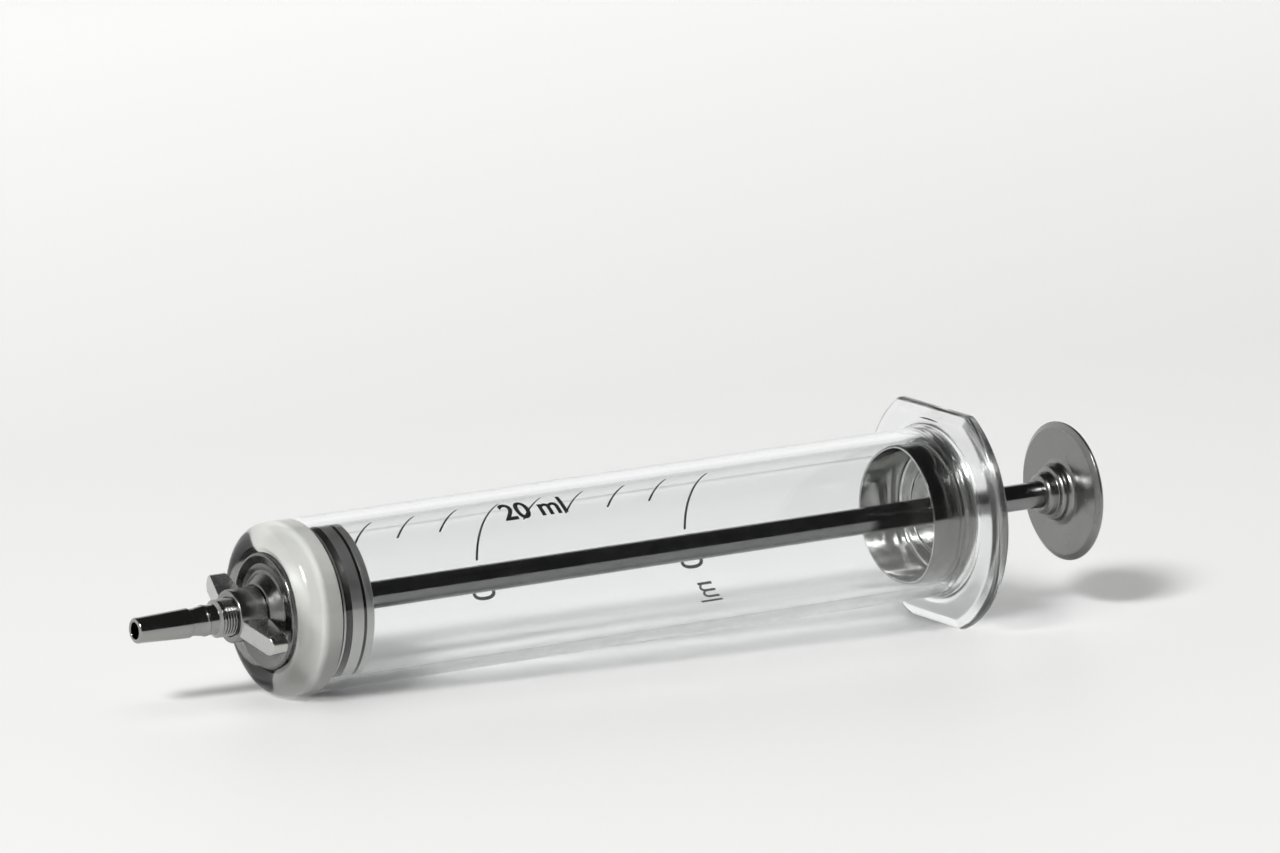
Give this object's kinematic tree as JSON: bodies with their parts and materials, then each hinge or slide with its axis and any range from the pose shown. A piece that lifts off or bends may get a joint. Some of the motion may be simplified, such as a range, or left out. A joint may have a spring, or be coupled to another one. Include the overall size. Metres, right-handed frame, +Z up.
{
  "type": "syringe",
  "caption": "Reusable glass syringe on its side: clear barrel with a finger flange, metal nozzle held by a wing nut over a milky front seal, and a metal piston with rod and thumb disc.",
  "frame": {"origin": "centre of the bounding box at floor level", "axes": "+X along the syringe from the nozzle's tip towards the thumb disc, +Z up"},
  "size_m": [0.1442, 0.033, 0.0295],
  "materials": {
    "clear_glass": "clear, fire polished",
    "milky_silicone": "milky, smooth",
    "plated_metal": "bright plated, lightly worn",
    "lapped_metal": "lapped round its edge",
    "rod_metal": "drawn, slightly dull"
  },
  "bodies": {
    "barrel": {"glass_barrel": "clear_glass", "front_gasket": "milky_silicone", "nozzle": "plated_metal", "guide_cap": "plated_metal"},
    "plunger": {"piston": "lapped_metal", "plunger_rod": "rod_metal", "thumb_disc": "plated_metal"},
    "washer": {"cup_washer": "plated_metal"},
    "nut": {"wing_nut": "plated_metal"}
  },
  "joints": [
    {"name": "plunger_slide", "type": "slide", "parent": "barrel", "child": "plunger", "axis": [0.9993, 0, 0.0378], "range_m": [0, 0.086]},
    {"name": "washer_slide", "type": "slide", "parent": "barrel", "child": "washer", "axis": [-0.9993, 0, -0.0378], "range_m": [0, 0.003]},
    {"name": "wing_nut_turn", "type": "hinge", "parent": "washer", "child": "nut", "pos_m": [-0.05625, 0, 0.01124], "axis": [-0.9993, 0, -0.0378], "range_deg": [0, 1440]}
  ],
  "couplings": [
    {"joint": "wing_nut_turn", "follows": "washer_slide", "rad_per_m": 8377.6}
  ]
}
